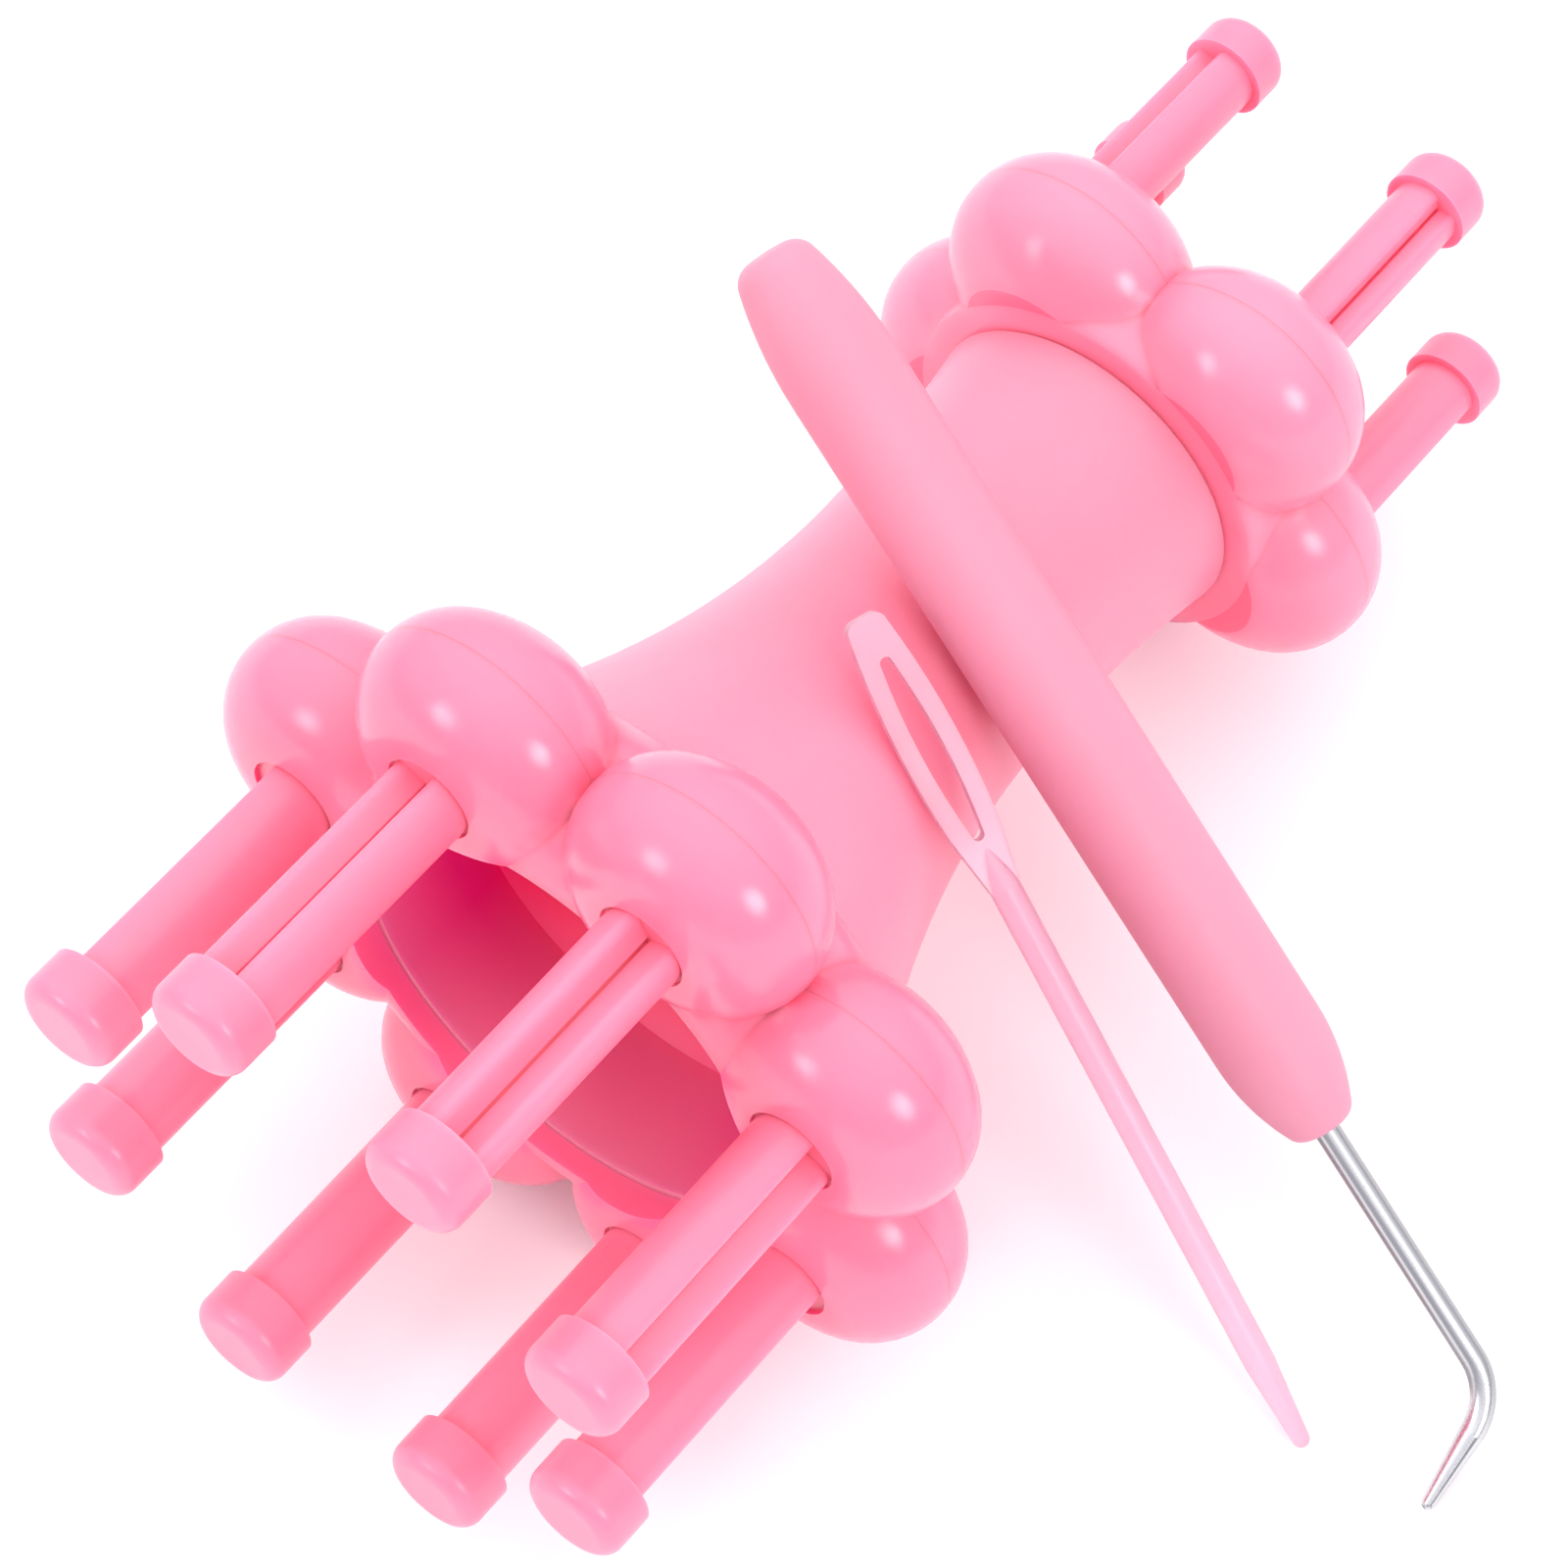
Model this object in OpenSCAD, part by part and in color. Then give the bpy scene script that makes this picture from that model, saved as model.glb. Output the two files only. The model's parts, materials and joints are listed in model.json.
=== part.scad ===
// Double-ended spool loom for knitting cord by hand, with a hook pick and an eyed needle leaning on it.
// Millimetres. The loom is drawn upright about its own axis, wide crown up, and then laid on its side.

/* [Barrel] */
// Outside radius of the barrel at its waist
waist_r = 13.4; // [12:0.1:15]
// Wall of the barrel
wall = 2.0; // [1.6:0.1:2.4]
// Radius of the arc that flares from the waist to the wide crown
flare_arc_r = 75; // [68:1:90]
// Radius of the arc from the waist to the narrow crown
neck_arc_r = 135; // [120:1:160]
// Station of the waist along the axis
waist_z = -12; // [-14:0.5:-10]
// Overlap of the radii where one moulding is pressed into another
press = 0.02; // [0.01:0.005:0.03]

/* [Wide crown] */
// Radius of the circle that the pegs stand on
wide_circle_r = 27.25; // [26.5:0.05:28]
// Station of the widest level of the lobes
wide_z = 33.0; // [32:0.1:34]
// Radius of one lobe at its widest level
wide_lobe_r = 11.2; // [10.8:0.1:11.6]
// Radius of the open mouth
mouth_r = 21.2; // [20.9:0.05:21.5]
// Radius of the ring that joins the lobes
web_r = 7.6; // [7.2:0.1:7.9]
// Distance from the widest level of the lobes back to the middle of that ring
web_drop = 1.7; // [1.4:0.1:2]
// Distance from the widest level to the step inside the mouth
ledge_up = 3.7; // [3.2:0.1:4.2]
// Station of the undersides of the peg heads
wide_head_z = 62.7; // [58:0.1:66]

/* [Narrow crown] */
// Radius of the circle that the pegs stand on
narrow_circle_r = 18.2; // [17.8:0.1:18.8]
// Radius of the circle that the lobe centres stand on
narrow_lobe_circle_r = 14.8; // [14.4:0.1:15.2]
// Station of the widest level of the lobes
narrow_z = -40; // [-41:0.1:-39]
// Radius of one lobe at its widest level
narrow_lobe_r = 11.3; // [10.9:0.1:11.7]
// Radius of the open outlet
outlet_r = 12.0; // [11.7:0.05:12.3]
// Radius of the flat collar that the barrel stands on
collar_r = 17.3; // [16.8:0.1:17.8]
// Radius of the collar's drafted side at the widest level of the lobes
collar_foot_r = 18.6; // [18:0.1:18.9]
// Distance from the widest level to the flat of the collar
collar_up = 7.4; // [7:0.1:7.7]
// Rise of the dished lobes outside the collar for each millimetre outwards
dish_slope = 0.2; // [0.1:0.02:0.3]
// Distance from the widest level down to the step inside the outlet
outlet_step = 3.0; // [2.5:0.1:3.5]
// Radius of the barrel's spigot inside the crown
spigot_r = 13.2; // [13:0.05:13.5]
// Station of the undersides of the peg heads
narrow_head_z = -63.7; // [-66:0.1:-60]

/* [Lobes] */
// Height of a lobe above its widest level on the peg side
lobe_front_h = 7.2; // [7.1:0.05:7.6]
// Height of a lobe above its widest level on the barrel side
lobe_rear_h = 8.6; // [8.3:0.1:8.9]
// Radius of the round side of a lobe
lobe_side_r = 7.0; // [6.8:0.05:7.05]

/* [Pegs] */
// Radius of a shaft on the wide crown
wide_peg_r = 3.7; // [3.5:0.05:3.8]
// Radius of a head on the wide crown
wide_head_r = 4.5; // [4.3:0.1:4.9]
// Height of a head on the wide crown
wide_head_h = 4.6; // [4:0.1:5.2]
// Radius of a shaft on the narrow crown
narrow_peg_r = 3.1; // [2.9:0.05:3.3]
// Radius of a head on the narrow crown
narrow_head_r = 3.9; // [3.7:0.1:4.1]
// Height of a head on the narrow crown
narrow_head_h = 4.2; // [3.8:0.1:4.6]
// Radius of the rounded edge of a head
head_round = 1.5; // [1:0.1:1.8]
// Distance from the widest level of the lobes to the foot of a peg
peg_foot_up = 1.6; // [1.2:0.1:2.4]
// Distance from the middle of a wide crown's shaft to the bottom of its groove
wide_groove_in = 1.1; // [0.9:0.05:1.5]
// Distance from the middle of a narrow crown's shaft to the bottom of its groove
narrow_groove_in = 1.7; // [1.4:0.05:1.9]
// Radius of the rounded lips of the groove on the wide crown
wide_lip_r = 0.8; // [0.5:0.05:1]
// Radius of the rounded lips of the groove on the narrow crown
narrow_lip_r = 0.6; // [0.4:0.05:0.7]
// Width of the narrow slot at the bottom of the groove
slot_w = 0.3; // [0.2:0.05:0.4]
// Depth of the slot below the bottom of the groove
slot_in = 0.5; // [0.3:0.05:0.8]
// Gap round the root of a peg, between the shaft and the lobe
root_gap = 0.3; // [0.25:0.05:0.4]
// Depth of that gap below the top of the lobe
root_deep = 0.6; // [0.4:0.1:1.2]

/* [Pick] */
// Length of the handle
handle_len = 84.5; // [80:0.5:88]
// Radius of the handle
handle_r = 4.85; // [4.5:0.05:5.1]
// Radius of the steel wire
wire_r = 1.1; // [0.9:0.05:1.3]
// Radius of the wire at its tip
wire_tip_r = 0.55; // [0.45:0.05:0.7]
// Length of wire pressed into the handle
wire_in = 16; // [12:0.5:20]
// Length of wire from the handle to the corner of the bend
wire_out = 26.8; // [24:0.1:29]
// Length from the corner of the bend to the tip
hook_len = 11.2; // [10:0.1:12.5]
// Angle of the bend
bend_deg = 64; // [56:1:70]
// Radius of the bend at the centre of the wire
bend_r = 6.0; // [5:0.1:7]

/* [Needle] */
// Length of the needle
needle_len = 80.5; // [74:0.5:84]
// Radius of the round shank
shank_r = 1.32; // [1.2:0.02:1.44]
// Half width of the flat eye end
eye_half_w = 2.55; // [2.4:0.05:2.8]
// Width of each rail beside the eye
rail_w = 1.5; // [1.3:0.05:1.7]
// Thickness of the flat eye end
eye_t = 1.1; // [0.9:0.1:1.5]
// Length of the eye's opening
eye_len = 17.1; // [15:0.1:18]
// Distance from the end of the needle to the widest place of the eye end
eye_mid = 12.4; // [11:0.1:13]

/* [Hidden] */
$fn = 96;
wide_count = 8;
narrow_count = 5;
wide_step = 360 / wide_count;
narrow_step = 360 / narrow_count;
narrow_phase = -18;

// The barrel's liner inside the wide crown, its ledge, and the bore.
ledge_z = wide_z + ledge_up;
liner_out_r = mouth_r + 1.4;
liner_in_r = liner_out_r - wall;
bore_r = waist_r - wall;
collar_z = narrow_z + collar_up;
spigot_end_z = narrow_z - outlet_step;
shoulder_r = arc_radius(neck_arc_r, collar_z);
lip_round = 0.6;
dish_h = 3;
web_circle_r = mouth_r;
web_z = wide_z - web_drop;
web_in = 2;
corner_swell = 0.01;
// Reach of the cuts, clear of all that they cut.
cut_reach = 20;

// Lying at rest: two wide lobes and one narrow lobe touch the floor, seen from between the two wide lobes.
down_deg = 180 + wide_step / 2;
narrow_down_deg = narrow_phase + 3 * narrow_step;
rest_wide = wide_circle_r * cos(wide_step / 2) + wide_lobe_r;
rest_narrow = narrow_lobe_circle_r * cos(down_deg - narrow_down_deg) + narrow_lobe_r;
tilt = atan2(rest_wide - rest_narrow, wide_z - narrow_z);
rest_h = (rest_wide - lobe_side_r) * cos(tilt) - wide_z * sin(tilt) + lobe_side_r + corner_swell;
shift_x = -0.421;
shift_y = -18.43;

// Leaning tools: station along the barrel, angle around it, and heading across it.
tool_gap = 0.3;
pick_station = -6.0;
pick_around = -12.5;
pick_heading = 172.1;
pick_before = 35.8;
pick_roll = 117.2;
needle_station = 5.6;
needle_around = -20.6;
needle_heading = 171.6;
needle_before = 12.3;
needle_roll = 20;
needle_slope = (needle_station - waist_z) / sqrt(pow(flare_arc_r, 2) - pow(needle_station - waist_z, 2));
needle_half = eye_half_w * sin(needle_roll) + (eye_t / 2 + eye_half_w * needle_slope) * cos(needle_roll);

// The bend runs a little past both straight lengths of the wire.
bend_past = 1;
bend_swell = 0.01;

// Handle ends: a long arc at each end that runs into a rounded corner.
head_taper = 11.5;
head_arc_r = 38;
head_corner_z = 1.5;
nose_taper = 9.2;
nose_arc_r = 20;
nose_corner_z = 0.8;

// Needle: bowed eye end with round corners, lens-shaped opening with round ends, straight taper, and point.
eye_out_arc_r = 78;
eye_corner_r = 1;
eye_corner_x = sqrt(pow(eye_out_arc_r - eye_corner_r, 2) - pow(eye_mid - eye_corner_r, 2))
    - eye_out_arc_r + eye_half_w;
eye_corner_z = eye_mid - (eye_mid - eye_corner_r) * eye_out_arc_r / (eye_out_arc_r - eye_corner_r);
hole_half_w = eye_half_w - rail_w;
hole_end_r = hole_half_w / 2;
hole_half_len = eye_len / 2 - hole_end_r;
hole_arc_r = (pow(hole_half_len, 2) + pow(hole_half_w, 2) - pow(hole_end_r, 2)) / (2 * (hole_half_w - hole_end_r));
hole_back = 0.2;
hole_mid = eye_mid - hole_back;
bow_len = 7.2;
taper_z = eye_mid + bow_len;
taper_half_w = eye_half_w - eye_out_arc_r + sqrt(pow(eye_out_arc_r, 2) - pow(taper_z - eye_mid, 2));
taper_len = 5.6;
shank_gap = 0.8;
shank_start = hole_mid + eye_len / 2 + shank_gap;
point_len = 8.5;
point_r = 0.75;

pink = [0.98, 0.62, 0.76];
pale_pink = [0.98, 0.72, 0.83];
clear_pink = [0.98, 0.74, 0.85, 0.8];
steel = [0.72, 0.73, 0.75];

function arc_radius(arc_r, z) = waist_r + arc_r - sqrt(pow(arc_r, 2) - pow(z - waist_z, 2));
function barrel_radius(z) = arc_radius(z > waist_z ? flare_arc_r : neck_arc_r, z);
// Radius of the cap arc of a lobe that meets its side arc smoothly.
function cap_radius(lobe_r, h) =
    (pow(lobe_r - lobe_side_r, 2) + pow(h, 2) - pow(lobe_side_r, 2)) / (2 * (h - lobe_side_r));
function cap_meet(lobe_r, h) = (lobe_r - lobe_side_r) * cap_radius(lobe_r, h)
    / (cap_radius(lobe_r, h) - lobe_side_r);

// Placing the loom and what leans on it.
module lay() {
    translate([shift_x, shift_y, rest_h])
        rotate([0, 90 - tilt, 0])
            rotate([0, 0, -down_deg])
                children();
}

module lean(station, around, heading, before, half) {
    lay()
        rotate([0, 0, around])
            translate([barrel_radius(station) + half + tool_gap, 0, station])
                rotate([heading - 90, 0, 0])
                    translate([0, 0, -before])
                        children();
}

// Half of a lobe in section, from its widest level outwards.
module lobe_half_section(lobe_r, h) {
    intersection() {
        union() {
            translate([lobe_r - lobe_side_r, 0])
                circle(r = lobe_side_r + corner_swell);
            intersection() {
                translate([0, h - cap_radius(lobe_r, h)])
                    circle(r = cap_radius(lobe_r, h));
                square([cap_meet(lobe_r, h), h]);
            }
        }
        square([lobe_r + 1, h + 1]);
    }
}

module lobe_half(lobe_r, h) {
    rotate_extrude()
        lobe_half_section(lobe_r, h);
}

module lobe_ring(count, phase, circle_r, lobe_r, h) {
    for (i = [0:count - 1])
        rotate([0, 0, phase + i * 360 / count])
            translate([circle_r, 0, 0])
                lobe_half(lobe_r, h);
}

// Ring that joins the lobes of the wide crown, above or below the widest level.
module web_ring(low, high) {
    rotate_extrude()
        intersection() {
            translate([web_circle_r, web_z])
                circle(r = web_r);
            translate([web_circle_r - web_in, low])
                square([web_in + web_r + 1, high - low]);
        }
}

module barrel_section() {
    difference() {
        union() {
            translate([0, collar_z])
                square([liner_out_r, ledge_z - collar_z]);
            translate([0, spigot_end_z])
                square([spigot_r, collar_z - spigot_end_z + 1]);
        }
        // Outside: the flare above the waist and the neck below it.
        intersection() {
            translate([waist_r + flare_arc_r, waist_z])
                circle(r = flare_arc_r, $fn = 720);
            translate([0, waist_z])
                square([flare_arc_r, flare_arc_r]);
        }
        intersection() {
            translate([waist_r + neck_arc_r, waist_z])
                circle(r = neck_arc_r, $fn = 1440);
            translate([0, collar_z - 1])
                square([neck_arc_r, waist_z - collar_z + 1]);
        }
        // Inside: the straight bore, then the funnel that follows the flare up to the straight liner.
        translate([0, spigot_end_z - 1])
            square([bore_r, waist_z - spigot_end_z + 1]);
        difference() {
            translate([0, waist_z])
                square([liner_in_r, ledge_z - waist_z + 1]);
            translate([waist_r + flare_arc_r, waist_z])
                circle(r = flare_arc_r + wall, $fn = 720);
        }
        // Broken edge of the lip against the collar.
        translate([shoulder_r, collar_z])
            rotate([0, 0, 45])
                square(lip_round, center = true);
    }
}

module barrel() {
    color(pink)
        lay()
            rotate_extrude()
                barrel_section();
}

module wide_crown_rear() {
    color(pink)
        lay()
            difference() {
                union() {
                    translate([0, 0, wide_z])
                        mirror([0, 0, 1])
                            lobe_ring(wide_count, 0, wide_circle_r, wide_lobe_r, lobe_rear_h);
                    web_ring(web_z - web_r - 1, wide_z);
                }
                translate([0, 0, wide_z - cut_reach])
                    cylinder(r = liner_out_r - press, h = 2 * cut_reach);
            }
}

module wide_crown_front() {
    color(pink)
        lay()
            difference() {
                union() {
                    translate([0, 0, wide_z])
                        lobe_ring(wide_count, 0, wide_circle_r, wide_lobe_r, lobe_front_h);
                    web_ring(wide_z, web_z + web_r + 1);
                }
                translate([0, 0, wide_z - 1])
                    cylinder(r = liner_out_r - press, h = ledge_z - wide_z + 1);
                translate([0, 0, wide_z])
                    cylinder(r = mouth_r, h = cut_reach);
                for (i = [0:wide_count - 1])
                    rotate([0, 0, i * wide_step])
                        translate([wide_circle_r, 0, wide_z])
                            peg_hole(wide_peg_r);
            }
}

module narrow_crown_rear() {
    color(pink)
        lay()
            difference() {
                union() {
                    translate([0, 0, narrow_z])
                        lobe_ring(narrow_count, narrow_phase, narrow_lobe_circle_r, narrow_lobe_r, lobe_rear_h);
                    translate([0, 0, narrow_z])
                        cylinder(r1 = collar_foot_r, r2 = collar_r, h = collar_up);
                }
                translate([0, 0, narrow_z - 1])
                    cylinder(r = spigot_r - press, h = collar_up + 2);
                // The lobes are dished round the flat of the collar.
                translate([0, 0, collar_z])
                    cylinder(r1 = collar_r, r2 = collar_r + dish_h / dish_slope, h = dish_h);
            }
}

module narrow_crown_front() {
    color(pink)
        lay()
            difference() {
                translate([0, 0, narrow_z])
                    mirror([0, 0, 1])
                        lobe_ring(narrow_count, narrow_phase, narrow_lobe_circle_r, narrow_lobe_r, lobe_front_h);
                translate([0, 0, spigot_end_z])
                    cylinder(r = spigot_r - press, h = outlet_step + 1);
                translate([0, 0, narrow_z - cut_reach])
                    cylinder(r = outlet_r, h = cut_reach + outlet_step / 2);
                for (i = [0:narrow_count - 1])
                    rotate([0, 0, narrow_phase + i * narrow_step])
                        translate([narrow_circle_r, 0, narrow_z])
                            mirror([0, 0, 1])
                                peg_hole(narrow_peg_r);
            }
}

// Hole for a peg with the gap round its root, from the widest level of the lobes.
module peg_hole(shaft_r) {
    translate([0, 0, peg_foot_up])
        cylinder(r = shaft_r - press, h = cut_reach);
    translate([0, 0, lobe_front_h - root_deep])
        cylinder(r = shaft_r + root_gap, h = cut_reach);
}

// What the groove takes from a shaft: a square-cornered V with a slot at its bottom, towards +X.
module groove_section(shaft_r, groove_in, lip_r) {
    lip_back = groove_in - lip_r * sqrt(2);
    lip_x = (lip_back + sqrt(2 * pow(shaft_r - lip_r, 2) - pow(lip_back, 2))) / 2;
    lip_y = lip_x - lip_back;
    lip_deg = atan2(lip_y, lip_x);
    reach = 3 * lip_r;
    translate([groove_in - slot_in, -slot_w / 2])
        square([shaft_r, slot_w]);
    difference() {
        union() {
            polygon([[groove_in, 0], [groove_in + shaft_r, shaft_r], [groove_in + shaft_r, -shaft_r]]);
            for (side = [-1, 1])
                polygon([[lip_x, side * lip_y],
                    [lip_x + reach * cos(45), side * (lip_y - reach * sin(45))],
                    [lip_x + reach * (cos(45) + cos(lip_deg)), side * (lip_y + reach * (sin(lip_deg) - sin(45)))],
                    [lip_x + reach * cos(lip_deg), side * (lip_y + reach * sin(lip_deg))]]);
        }
        for (side = [-1, 1])
            translate([lip_x, side * lip_y])
                circle(r = lip_r);
    }
}

// A grooved peg standing on its foot, with the groove towards +X.
module peg(shaft_r, head_r, head_h, below, above, groove_in, lip_r) {
    difference() {
        union() {
            translate([0, 0, -below])
                cylinder(r = shaft_r, h = below + above + head_round);
            translate([0, 0, above])
                rotate_extrude() {
                    square([head_r, head_h - head_round]);
                    square([head_r - head_round, head_h]);
                    translate([head_r - head_round, head_h - head_round])
                        circle(r = head_round);
                }
        }
        translate([0, 0, -root_deep])
            linear_extrude(height = above + root_deep)
                groove_section(shaft_r, groove_in, lip_r);
    }
}

module wide_peg(i) {
    color(pink)
        lay()
            rotate([0, 0, (3 - i) * wide_step])
                translate([wide_circle_r, 0, wide_z + lobe_front_h])
                    peg(wide_peg_r, wide_head_r, wide_head_h, lobe_front_h - peg_foot_up,
                        wide_head_z - wide_z - lobe_front_h, wide_groove_in, wide_lip_r);
}

module narrow_peg(i) {
    color(pink)
        lay()
            rotate([0, 0, narrow_phase + (2 - i) * narrow_step])
                translate([narrow_circle_r, 0, narrow_z - lobe_front_h])
                    mirror([0, 0, 1])
                        peg(narrow_peg_r, narrow_head_r, narrow_head_h, lobe_front_h - peg_foot_up,
                            narrow_z - lobe_front_h - narrow_head_z, narrow_groove_in, narrow_lip_r);
}

// Handle end in section: a long arc into a rounded corner, z from the end.
module handle_end_section(taper, arc_r, corner_z) {
    slope = asin((taper - corner_z) / arc_r);
    corner_r = corner_z / (1 - sin(slope));
    edge_r = handle_r - arc_r * (1 - cos(slope));
    centre_r = edge_r - corner_r * cos(slope);
    translate([centre_r, corner_r])
        circle(r = corner_r + corner_swell / 2);
    square([centre_r, 2 * corner_r]);
    intersection() {
        translate([handle_r - arc_r, taper])
            circle(r = arc_r, $fn = 360);
        translate([0, corner_z])
            square([handle_r, taper - corner_z]);
    }
}

module pick_handle() {
    color(pale_pink)
        lean(pick_station, pick_around, pick_heading, pick_before, handle_r)
            difference() {
                rotate_extrude()
                    intersection() {
                        union() {
                            handle_end_section(head_taper, head_arc_r, head_corner_z);
                            translate([0, head_taper])
                                square([handle_r, handle_len - head_taper - nose_taper]);
                            translate([0, handle_len])
                                mirror([0, 1])
                                    handle_end_section(nose_taper, nose_arc_r, nose_corner_z);
                        }
                        square([handle_r + 1, handle_len]);
                    }
                translate([0, 0, handle_len - wire_in])
                    cylinder(r = wire_r - press, h = wire_in + 1);
            }
}

module pick_wire() {
    bend_back = bend_r * tan(bend_deg / 2);
    color(steel)
        lean(pick_station, pick_around, pick_heading, pick_before, handle_r)
            rotate([0, 0, pick_roll]) {
                translate([0, 0, handle_len - wire_in])
                    cylinder(r = wire_r, h = wire_in + wire_out - bend_back);
                translate([bend_r, 0, handle_len + wire_out - bend_back])
                    rotate([90, 0, 180])
                        rotate([0, 0, -bend_past])
                            rotate_extrude(angle = bend_deg + 2 * bend_past)
                                translate([bend_r, 0])
                                    circle(r = wire_r + bend_swell);
                translate([0, 0, handle_len + wire_out])
                    rotate([0, bend_deg, 0])
                        translate([0, 0, bend_back]) {
                            cylinder(r1 = wire_r, r2 = wire_tip_r, h = hook_len - bend_back - wire_tip_r);
                            translate([0, 0, hook_len - bend_back - wire_tip_r])
                                sphere(r = wire_tip_r);
                        }
            }
}

// Eye end in section, y from the end: bowed sides, round corners, and the straight taper to the shank.
module needle_eye_section() {
    difference() {
        intersection() {
            union() {
                intersection() {
                    translate([eye_out_arc_r - eye_half_w, eye_mid])
                        circle(r = eye_out_arc_r, $fn = 360);
                    translate([eye_half_w - eye_out_arc_r, eye_mid])
                        circle(r = eye_out_arc_r, $fn = 360);
                    translate([-eye_half_w, eye_corner_z])
                        square([2 * eye_half_w, taper_z - eye_corner_z]);
                }
                for (side = [-1, 1])
                    translate([side * eye_corner_x, eye_corner_r])
                        circle(r = eye_corner_r + corner_swell);
                translate([-eye_corner_x, 0])
                    square([2 * eye_corner_x, 2 * eye_corner_r]);
                polygon([[-taper_half_w, taper_z], [taper_half_w, taper_z],
                    [shank_r, taper_z + taper_len], [-shank_r, taper_z + taper_len]]);
            }
            translate([-eye_half_w, 0])
                square([2 * eye_half_w, needle_len]);
        }
        translate([0, hole_mid])
            needle_hole_section();
    }
}

module needle_hole_section() {
    intersection() {
        translate([hole_arc_r - hole_half_w, 0])
            circle(r = hole_arc_r, $fn = 360);
        translate([hole_half_w - hole_arc_r, 0])
            circle(r = hole_arc_r, $fn = 360);
        square([2 * hole_half_w, 2 * hole_half_len], center = true);
    }
    for (side = [-1, 1])
        translate([0, side * hole_half_len])
            circle(r = hole_end_r + corner_swell);
}

module yarn_needle() {
    color(clear_pink)
        lean(needle_station, needle_around, needle_heading, needle_before, needle_half)
            rotate([0, 0, needle_roll]) {
                rotate([90, 0, 90])
                    linear_extrude(height = eye_t, center = true)
                        needle_eye_section();
                // The round shank grows out of the flat along the taper.
                translate([0, 0, shank_start])
                    cylinder(r1 = eye_t / 2, r2 = shank_r, h = taper_z + taper_len - shank_start);
                translate([0, 0, taper_z + taper_len])
                    cylinder(r = shank_r, h = needle_len - point_len - taper_z - taper_len);
                translate([0, 0, needle_len - point_len])
                    cylinder(r1 = shank_r, r2 = point_r, h = point_len - point_r);
                translate([0, 0, needle_len - point_r])
                    sphere(r = point_r);
            }
}

barrel();
wide_crown_rear();
wide_crown_front();
narrow_crown_rear();
narrow_crown_front();
wide_peg(1);  // wide_peg_1
wide_peg(2);  // wide_peg_2
wide_peg(3);  // wide_peg_3
wide_peg(4);  // wide_peg_4
wide_peg(5);  // wide_peg_5
wide_peg(6);  // wide_peg_6
wide_peg(7);  // wide_peg_7
wide_peg(8);  // wide_peg_8
narrow_peg(1);  // narrow_peg_1
narrow_peg(2);  // narrow_peg_2
narrow_peg(3);  // narrow_peg_3
narrow_peg(4);  // narrow_peg_4
narrow_peg(5);  // narrow_peg_5
pick_handle();
pick_wire();
yarn_needle();
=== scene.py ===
"""A pink double-ended spool loom for knitting cord, with a hook pick and a yarn needle leaning on it."""
import json
import math

import bpy
import numpy as np
from mathutils import Matrix, Vector

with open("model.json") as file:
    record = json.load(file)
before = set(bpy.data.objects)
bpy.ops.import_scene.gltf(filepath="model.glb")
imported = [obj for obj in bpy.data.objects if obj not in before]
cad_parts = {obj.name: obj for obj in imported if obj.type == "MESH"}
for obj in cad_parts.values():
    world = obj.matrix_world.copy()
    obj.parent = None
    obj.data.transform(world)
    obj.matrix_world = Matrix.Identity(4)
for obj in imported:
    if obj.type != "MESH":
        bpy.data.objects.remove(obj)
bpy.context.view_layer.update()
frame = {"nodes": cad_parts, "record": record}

MM = 0.001
MOUNTS = {mount["name"]: mount for mount in frame["record"]["mounts"]}
AXIS = Vector(MOUNTS["wide_mouth"]["axis"]).normalized()
AXIS_POINT = Vector(MOUNTS["wide_mouth"]["pos_m"])
# Station of that point along the loom, measured as in the construction, and of the two parting planes.
AXIS_POINT_STATION = 31 * MM
WIDE_PARTING = 33 * MM
NARROW_PARTING = -40 * MM
# How far the creases between the lobes are softened, where that fades out beside the parting plane and below
# the pegs, and the width of the parting line.
CREASE_RADIUS = 2.2 * MM
CREASE_SAMPLES = 6
CREASE_OFF_PARTING = (1.2 * MM, 2.6 * MM)
CREASE_BELOW_PEGS = (5.4 * MM, 6.8 * MM)
PARTING_WIDTH = 0.12 * MM
# Stations between which painted shade turns the bore's walls a deeper red, and between which that painted
# shade reaches its deepest colour.
BORE_SHADE_SETS_IN = (46 * MM, 28 * MM)
BORE_SHADE_DEEPENS = (26 * MM, 20 * MM)
# Width of the mould line on the handle.
MOULD_LINE_WIDTH = 0.14 * MM

WIDE_PEGS = [f"wide_peg_{i}" for i in range(1, 9)]
NARROW_PEGS = [f"narrow_peg_{i}" for i in range(1, 6)]

# Each plastic: the share of its colour that its darker tone keeps, its roughness and how far that varies, the
# share of light that enters it, and how deep.
CROWN_GLOSS = (0.975, 0.2, 0.03, 0.4, 3.0 * MM)
BARREL_SATIN = (0.97, 0.4, 0.03, 0.8, 5.0 * MM)
PEG_SATIN = (0.97, 0.33, 0.04, 0.5, 2.5 * MM)
HANDLE_MATT = (0.975, 0.55, 0.04, 0.2, 2.5 * MM)
NEEDLE_CLEAR = (0.98, 0.36, 0.04, 0.5, 3.0 * MM)
# How far red, green and blue light spread inside the plastics, as shares of each one's depth.
SCATTER = (1.0, 0.7, 0.85)
PLASTIC_IOR = 1.5
NEEDLE_TRANSMISSION = 0.7
# Linear colours of the plastics and the steel.
LOOM_PINK = (0.97, 0.216, 0.335)
# Painted light: the narrow crown takes a lighter copy of the loom's pink, standing for more light falling on
# that end.
NARROW_PINK_PAINTED_LIGHTER = (0.97, 0.255, 0.372)
BARREL_PINK = (0.97, 0.275, 0.382)
PEG_PINK = (0.97, 0.228, 0.345)
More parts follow.
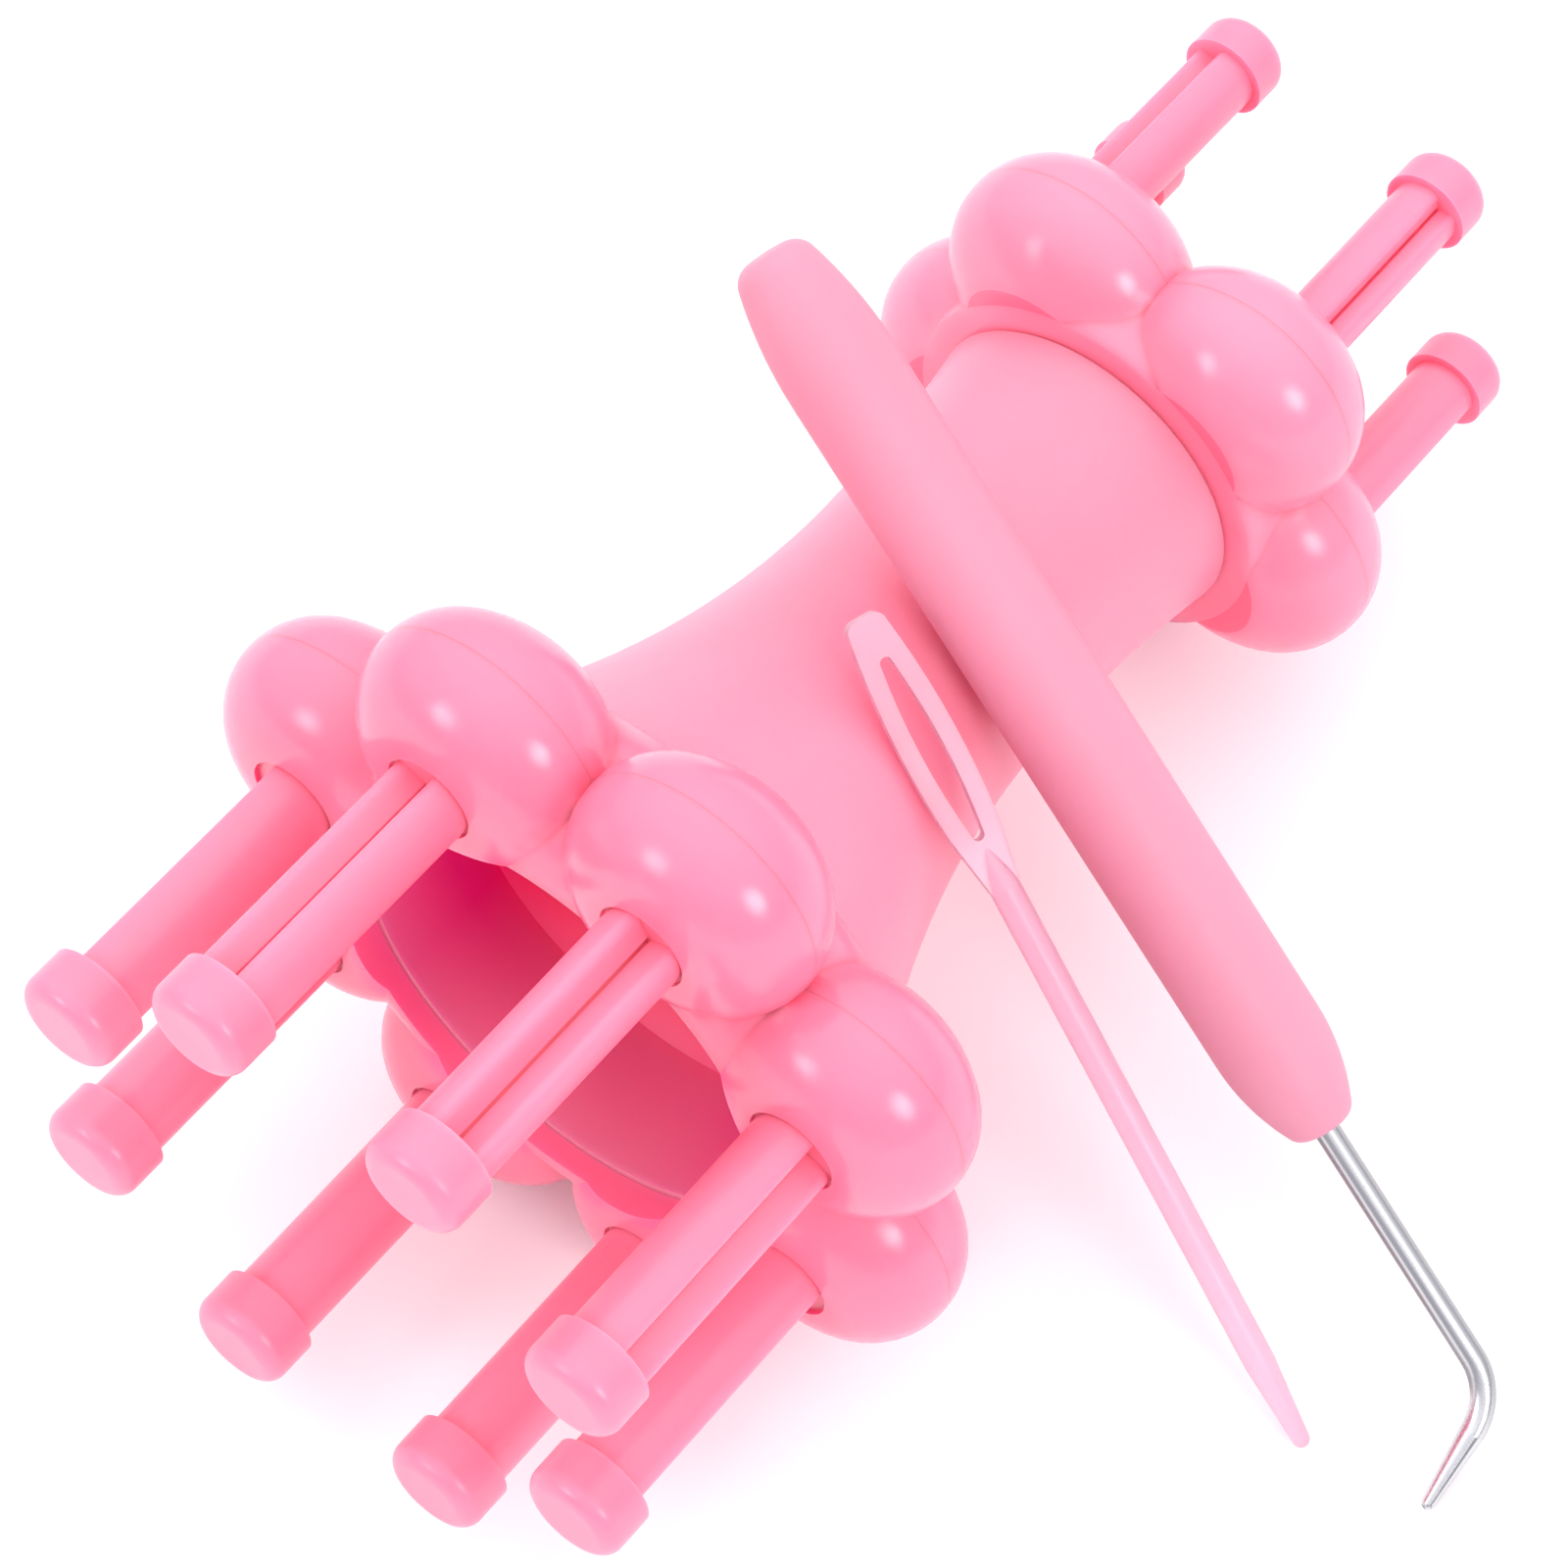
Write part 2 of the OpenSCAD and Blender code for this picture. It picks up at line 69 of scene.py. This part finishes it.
# Painted shade: the reds painted on the bore's walls, standing for the shade deep inside it.
BORE_PAINTED_SHADE = (0.93, 0.008, 0.27)
BORE_DEEPEST_PAINTED_SHADE = (0.85, 0.002, 0.12)
HANDLE_PINK = (0.69, 0.262, 0.358)
NEEDLE_PINK = (0.98, 0.6, 0.73)
STEEL = (0.66, 0.668, 0.678)
# Painted reflection: the darker colour painted in bands on the steel.
STEEL_PAINTED_REFLECTION = (0.16, 0.165, 0.17)

# The camera: where it stands and what it looks at from the middle of the wide mouth, its tip, and its lens.
CAMERA_PLACE = (117.935 * MM, 143.34 * MM, 394.274 * MM)
CAMERA_AIM = (-22.945 * MM, -0.86 * MM, -5.816 * MM)
CAMERA_ROLL = math.radians(-8.38)
CAMERA_LENS = 124.7
SENSOR = 36.0

# The floor: its size, and the darker and lighter tone of its paper.
FLOOR_SIZE = 6
FLOOR_DARKER = (0.885, 0.885, 0.89)
FLOOR_LIGHTER = (0.9, 0.9, 0.905)

# Lights: what they face from the middle of the wide mouth, then each one's azimuth and elevation in degrees,
# distance and size in metres, and power in watts.
LIGHT_AIM = (-26.9 * MM, -20.5 * MM, -5.8 * MM)
SOFTBOXES = [
    ("left_softbox", -25, 33, 1.3, 0.4, 3.6),
    ("right_softbox", 78, 30, 1.3, 0.44, 5.2),
]
# The sky: its strength and colour at its dimmest and brightest, and the direction it brightens towards.
SKY_LOW = 0.45
SKY_HIGH = 2.08
SKY_LOW_COLOUR = (0.97, 0.93, 1.06)
SKY_HIGH_COLOUR = (1.0, 1.0, 1.0)
SKY_TOWARDS = (-0.3, -0.2, 0.93)


class Shader:
    """A small builder for node materials."""

    def __init__(self, name):
        self.material = bpy.data.materials.new(name)
        self.material.use_nodes = True
        self.tree = self.material.node_tree
        self.surface = self.tree.nodes["Principled BSDF"]
        self.place = self.tree.nodes.new("ShaderNodeTexCoord").outputs["Object"]

    def link(self, a, b):
        self.tree.links.new(a, b)

    def geometry_normal(self):
        return self.tree.nodes.new("ShaderNodeNewGeometry").outputs["Normal"]

    def math(self, operation, a, b=None):
        node = self.tree.nodes.new("ShaderNodeMath")
        node.operation = operation
        for socket, value in zip(node.inputs, (a, b)):
            if isinstance(value, (int, float)):
                socket.default_value = value
            elif value is not None:
                self.link(value, socket)
        return node.outputs[0]

    def vector_math(self, operation, a, b=None, output="Vector"):
        node = self.tree.nodes.new("ShaderNodeVectorMath")
        node.operation = operation
        for socket, value in zip(node.inputs, (a, b)):
            if isinstance(value, tuple):
                socket.default_value = value
            elif value is not None:
                self.link(value, socket)
        return node.outputs[output]

    def along(self, direction, origin):
        """Distance of the shaded point from an origin, measured along a direction."""
        distance = self.vector_math("DOT_PRODUCT", self.place, tuple(direction), "Value")
        return self.math("SUBTRACT", distance, float(Vector(direction).dot(origin)))

    def stretched(self, direction, origin, long_scale, fine_scale):
        """Coordinates whose pattern is drawn out along a direction."""
        side = Vector(direction).orthogonal().normalized()
        up = Vector(direction).cross(side)
        node = self.tree.nodes.new("ShaderNodeCombineXYZ")
        scales = (long_scale, fine_scale, fine_scale)
        for socket, vector, scale in zip(node.inputs, (direction, side, up), scales):
            self.link(self.math("MULTIPLY", self.along(vector, origin), scale), socket)
        return node.outputs[0]

    def noise(self, scale, detail=3.0, roughness=0.5, place=None):
        node = self.tree.nodes.new("ShaderNodeTexNoise")
        node.inputs["Scale"].default_value = scale
        node.inputs["Detail"].default_value = detail
        node.inputs["Roughness"].default_value = roughness
        self.link(place or self.place, node.inputs["Vector"])
        return node.outputs["Fac"]

    def ranged(self, value, low, high, to_low, to_high, smooth=False):
        """The value mapped from low..high to to_low..to_high, and held at either end."""
        node = self.tree.nodes.new("ShaderNodeMapRange")
        if smooth:
            node.interpolation_type = "SMOOTHSTEP"
        for name, number in zip(("From Min", "From Max", "To Min", "To Max"), (low, high, to_low, to_high)):
            node.inputs[name].default_value = number
        self.link(value, node.inputs["Value"])
        return node.outputs[0]

    def blend(self, fac, a, b):
        node = self.tree.nodes.new("ShaderNodeMix")
        node.data_type = "RGBA"
        for socket, value in zip([node.inputs[0], node.inputs[6], node.inputs[7]], (fac, a, b)):
            if isinstance(value, (int, float)):
                socket.default_value = value
            elif isinstance(value, tuple):
                socket.default_value = (*value, 1.0)
            else:
                self.link(value, socket)
        return node.outputs[2]

    def bump(self, height, distance, normal=None):
        node = self.tree.nodes.new("ShaderNodeBump")
        node.inputs["Strength"].default_value = 1.0
        node.inputs["Distance"].default_value = distance
        self.link(height, node.inputs["Height"])
        if normal:
            self.link(normal, node.inputs["Normal"])
        self.link(node.outputs["Normal"], self.surface.inputs["Normal"])

    def line_at(self, value, width):
        """1 on a thin line where the value passes zero, 0 away from it."""
        return self.ranged(self.math("ABSOLUTE", value), 0.0, width, 1.0, 0.0, smooth=True)

    def plastic(self, colour, shade, roughness, spread, subsurface, depth):
        """Moulded plastic: a slightly uneven tone and gloss over a body that light enters to a depth."""
        tone = self.ranged(self.noise(55, 2), 0.35, 0.65, 0.0, 1.0)
        mixed = self.blend(tone, tuple(c * shade for c in colour), colour)
        self.link(mixed, self.surface.inputs["Base Color"])
        self.link(self.ranged(self.noise(240, 3), 0.3, 0.7, roughness - spread, roughness + spread),
                  self.surface.inputs["Roughness"])
        self.surface.inputs["IOR"].default_value = PLASTIC_IOR
        self.surface.inputs["Subsurface Weight"].default_value = subsurface
        self.surface.inputs["Subsurface Radius"].default_value = SCATTER
        self.surface.inputs["Subsurface Scale"].default_value = depth
        return mixed


def station(shader):
    """Distance along the loom's axis, as in the construction."""
    return shader.math("ADD", shader.along(AXIS, AXIS_POINT), AXIS_POINT_STATION)


def inner_wall(shader, normal):
    """1 on the walls that face the loom's axis, 0 elsewhere."""
    offset = shader.vector_math("SUBTRACT", shader.place, tuple(AXIS_POINT))
    around = shader.vector_math("CROSS_PRODUCT", tuple(AXIS), offset)
    outward = shader.vector_math("CROSS_PRODUCT", around, tuple(AXIS))
    facing = shader.vector_math("DOT_PRODUCT", shader.vector_math("NORMALIZE", outward), normal, "Value")
    return shader.ranged(facing, -0.35, -0.1, 1.0, 0.0, smooth=True)


def bore_painted_shade(shader, base):
    """Painted shade: the base colour, painted a deeper red on the bore's walls the further in they lie, and
    less on the lit lower ones.
    """
    normal = shader.geometry_normal()
    upward = shader.vector_math("DOT_PRODUCT", normal, (0.0, 0.0, 1.0), "Value")
    lit = shader.ranged(upward, 0.55, 0.95, 1.0, 0.4)
    along = station(shader)
    outer, inner = BORE_SHADE_SETS_IN
    depth = shader.math("MULTIPLY", shader.ranged(along, inner, outer, 1.0, 0.0), lit)
    outer, inner = BORE_SHADE_DEEPENS
    deepest_shade = shader.blend(shader.ranged(along, inner, outer, 1.0, 0.0), BORE_PAINTED_SHADE, BORE_DEEPEST_PAINTED_SHADE)
    return shader.blend(shader.math("MULTIPLY", inner_wall(shader, normal), depth), base, deepest_shade)


def soft_creases(shader, parting, peg_side):
    """Normals that run softly through the creases between lobes, clear of the parting plane and the pegs."""
    normal = shader.geometry_normal()
    rise = shader.math("MULTIPLY", shader.math("SUBTRACT", station(shader), parting), peg_side)
    apart = shader.math("ABSOLUTE", rise)
    off_parting = shader.ranged(apart, *CREASE_OFF_PARTING, 0.0, 1.0, smooth=True)
    below_pegs = shader.ranged(rise, *CREASE_BELOW_PEGS, 1.0, 0.0, smooth=True)
    outer = shader.math("SUBTRACT", 1.0, inner_wall(shader, normal))
    corner = shader.tree.nodes.new("ShaderNodeBevel")
    corner.samples = CREASE_SAMPLES
    corner.inputs["Radius"].default_value = CREASE_RADIUS
    mix = shader.tree.nodes.new("ShaderNodeMix")
    mix.data_type = "VECTOR"
    where = shader.math("MULTIPLY", off_parting, below_pegs)
    shader.link(shader.math("MULTIPLY", where, outer), mix.inputs[0])
    shader.link(normal, mix.inputs[4])
    shader.link(corner.outputs["Normal"], mix.inputs[5])
    return shader.vector_math("NORMALIZE", mix.outputs[1])


def crown_material(name, parting, peg_side, colour):
    """Glossy lobes with soft creases between them and a faint parting line at their widest level."""
    shader = Shader(name)
    base = shader.plastic(colour, *CROWN_GLOSS)
    line = shader.line_at(shader.math("SUBTRACT", station(shader), parting), PARTING_WIDTH)
    darker = shader.blend(shader.math("MULTIPLY", line, 0.12), base, tuple(c * 0.72 for c in colour))
    # Painted shade: the crown's mouth walls are painted a deeper red towards the inside of the bore.
    shader.link(bore_painted_shade(shader, darker), shader.surface.inputs["Base Color"])
    ripple = shader.math("MULTIPLY", shader.noise(90, 2), 0.5)
    shader.bump(shader.math("SUBTRACT", ripple, shader.math("MULTIPLY", line, 0.2)), 0.06 * MM,
                normal=soft_creases(shader, parting, peg_side))
    return shader.material


def barrel_material():
    """Satin barrel with faint drag marks along the direction that the core was drawn out."""
    shader = Shader("barrel_satin")
    base = shader.plastic(BARREL_PINK, *BARREL_SATIN)
    # Painted shade: the barrel's bore walls are painted a deeper red further in.
    shader.link(bore_painted_shade(shader, base), shader.surface.inputs["Base Color"])
    drawn = shader.noise(1.0, 3, place=shader.stretched(AXIS, AXIS_POINT, 60, 700))
    shader.bump(drawn, 0.006 * MM)
    return shader.material


def peg_material():
    """Satin pegs, drawn lengthways from their mould."""
    shader = Shader("peg_satin")
    shader.plastic(PEG_PINK, *PEG_SATIN)
    drawn = shader.noise(1.0, 2, place=shader.stretched(AXIS, AXIS_POINT, 90, 1100))
    shader.bump(shader.math("ADD", drawn, shader.noise(500, 2)), 0.008 * MM)
    return shader.material


def main_axis(node):
    """Middle and long direction of a CAD node, from its own points."""
    points = np.array([v.co for v in frame["nodes"][node].data.vertices])
    middle = points.mean(0)
    direction = np.linalg.svd(points - middle, full_matrices=False)[2][0]
    if direction[2] > 0:
        direction = -direction
    return Vector(middle), Vector(direction)


def handle_material():
    """Fine matt texture with a mould line down each side."""
    shader = Shader("handle_matt")
    base = shader.plastic(HANDLE_PINK, *HANDLE_MATT)
    middle, direction = main_axis("pick_handle")
    side = direction.cross(Vector((0, 0, 1))).normalized()
    across = direction.cross(side)
    line = shader.line_at(shader.along(across, middle), MOULD_LINE_WIDTH)
    shader.link(shader.blend(shader.math("MULTIPLY", line, 0.15), base, tuple(c * 0.8 for c in HANDLE_PINK)),
                shader.surface.inputs["Base Color"])
    grain = shader.noise(2600, 3, 0.6)
    shader.bump(shader.math("ADD", grain, shader.math("MULTIPLY", line, 0.8)), 0.02 * MM)
    return shader.material


def needle_material():
    """Pale plastic that lets some light through."""
    shader = Shader("needle_translucent")
    shader.plastic(NEEDLE_PINK, *NEEDLE_CLEAR)
    shader.surface.inputs["Transmission Weight"].default_value = NEEDLE_TRANSMISSION
    shader.bump(shader.noise(220, 2), 0.002 * MM)
    return shader.material


def wire_material():
    """Bright drawn steel with fine lines along it, and painted reflections: darker bands painted where it
    would mirror the unlit edges of the lights.
    """
    shader = Shader("wire_steel")
    middle, direction = main_axis("pick_handle")
    place = shader.stretched(direction, middle, 40, 9000)
    drawn = shader.noise(1.0, 3, place=place)
    normal = shader.geometry_normal()
    # How far a place on the wire is turned to one side: 1 at that side, -1 at the other.
    side = direction.cross(Vector((0, 0, 1))).normalized()
    turn = shader.vector_math("DOT_PRODUCT", normal, tuple(side), "Value")
    # Painted reflection: darker bands painted on the steel by which way its surface turns, for the unlit
    # edges of the lights.
    left = shader.ranged(turn, 0.78, 0.95, 0.0, 0.8, smooth=True)
    line = shader.line_at(shader.math("SUBTRACT", turn, 0.2), 0.13)
    right = shader.ranged(turn, -0.55, 0.1, 0.5, 0.0, smooth=True)
    painted_reflection = shader.math("MAXIMUM", shader.math("MAXIMUM", left, shader.math("MULTIPLY", line, 0.75)), right)
    bright = shader.blend(drawn, tuple(c * 0.9 for c in STEEL), STEEL)
    shader.link(shader.blend(painted_reflection, bright, STEEL_PAINTED_REFLECTION), shader.surface.inputs["Base Color"])
    shader.surface.inputs["Metallic"].default_value = 1.0
    shader.link(shader.ranged(drawn, 0.3, 0.7, 0.24, 0.32), shader.surface.inputs["Roughness"])
    shader.bump(drawn, 0.0015 * MM)
    return shader.material


def dress(nodes, material):
    """Gives CAD nodes a material."""
    for name in nodes:
        piece = frame["nodes"][name]
        piece.data.materials.clear()
        piece.data.materials.append(material)


def make_floor():
    """Plain pale paper with a faint mottle."""
    shader = Shader("floor_paper")
    tone = shader.ranged(shader.noise(30, 3), 0.3, 0.7, 0.0, 1.0)
    paper = shader.blend(tone, FLOOR_DARKER, FLOOR_LIGHTER)
    shader.link(paper, shader.surface.inputs["Base Color"])
    shader.surface.inputs["Roughness"].default_value = 0.8
    bpy.ops.mesh.primitive_plane_add(size=FLOOR_SIZE, location=(0, 0, 0))
    floor = bpy.context.object
    floor.name = "floor"
    floor.data.materials.append(shader.material)


def aim(thing, place, target, roll=0.0):
    """Stands a camera or light at a place, looking at a target."""
    turn = (Vector(target) - Vector(place)).to_track_quat("-Z", "Y").to_matrix().to_4x4()
    thing.matrix_world = Matrix.Translation(place) @ turn @ Matrix.Rotation(roll, 4, "Z")


def make_softboxes():
    """Two soft round lights that face the middle of the object."""
    target = AXIS_POINT + Vector(LIGHT_AIM)
    for name, azimuth, elevation, distance, size, power in SOFTBOXES:
        lamp = bpy.data.lights.new(name, "AREA")
        lamp.shape = "DISK"
        lamp.size = size
        lamp.energy = power
        thing = bpy.data.objects.new(name, lamp)
        bpy.context.scene.collection.objects.link(thing)
        a, e = math.radians(azimuth), math.radians(elevation)
        offset = Vector((math.cos(a) * math.cos(e), math.sin(a) * math.cos(e), math.sin(e))) * distance
        aim(thing, target + offset, target)


def make_sky():
    """A studio that is brighter overhead than at the horizon."""
    world = bpy.data.worlds.new("studio")
    bpy.context.scene.world = world
    world.use_nodes = True
    nodes, links = world.node_tree.nodes, world.node_tree.links
    sky = nodes["Background"]
    height = nodes.new("ShaderNodeVectorMath")
    height.operation = "DOT_PRODUCT"
    links.new(nodes.new("ShaderNodeTexCoord").outputs["Generated"], height.inputs[0])
    height.inputs[1].default_value = SKY_TOWARDS
    ramp = nodes.new("ShaderNodeMapRange")
    for name, number in zip(("From Min", "From Max", "To Min", "To Max"), (0.0, 1.0, SKY_LOW, SKY_HIGH)):
        ramp.inputs[name].default_value = number
    links.new(height.outputs["Value"], ramp.inputs["Value"])
    links.new(ramp.outputs[0], sky.inputs["Strength"])
    tint = nodes.new("ShaderNodeMix")
    tint.data_type = "RGBA"
    tint.inputs[6].default_value = (*SKY_LOW_COLOUR, 1.0)
    tint.inputs[7].default_value = (*SKY_HIGH_COLOUR, 1.0)
    links.new(height.outputs["Value"], tint.inputs[0])
    links.new(tint.outputs[2], sky.inputs["Color"])


def make_camera():
    data = bpy.data.cameras.new("camera")
    data.lens = CAMERA_LENS
    data.sensor_width = SENSOR
    data.clip_start = 0.01
    camera = bpy.data.objects.new("camera", data)
    bpy.context.scene.collection.objects.link(camera)
    aim(camera, AXIS_POINT + Vector(CAMERA_PLACE), AXIS_POINT + Vector(CAMERA_AIM), CAMERA_ROLL)
    bpy.context.scene.camera = camera


make_camera()
make_floor()
make_softboxes()
make_sky()
dress(["wide_crown_rear", "wide_crown_front"],
      crown_material("wide_crown_gloss", WIDE_PARTING, 1.0, LOOM_PINK))
# The narrow crown gets the lighter copy of the pink, painted light for that end.
dress(["narrow_crown_rear", "narrow_crown_front"],
      crown_material("narrow_crown_gloss", NARROW_PARTING, -1.0, NARROW_PINK_PAINTED_LIGHTER))
dress(["barrel"], barrel_material())
dress(WIDE_PEGS + NARROW_PEGS, peg_material())
dress(["pick_handle"], handle_material())
dress(["pick_wire"], wire_material())
dress(["yarn_needle"], needle_material())
bpy.context.scene.view_settings.view_transform = "Standard"
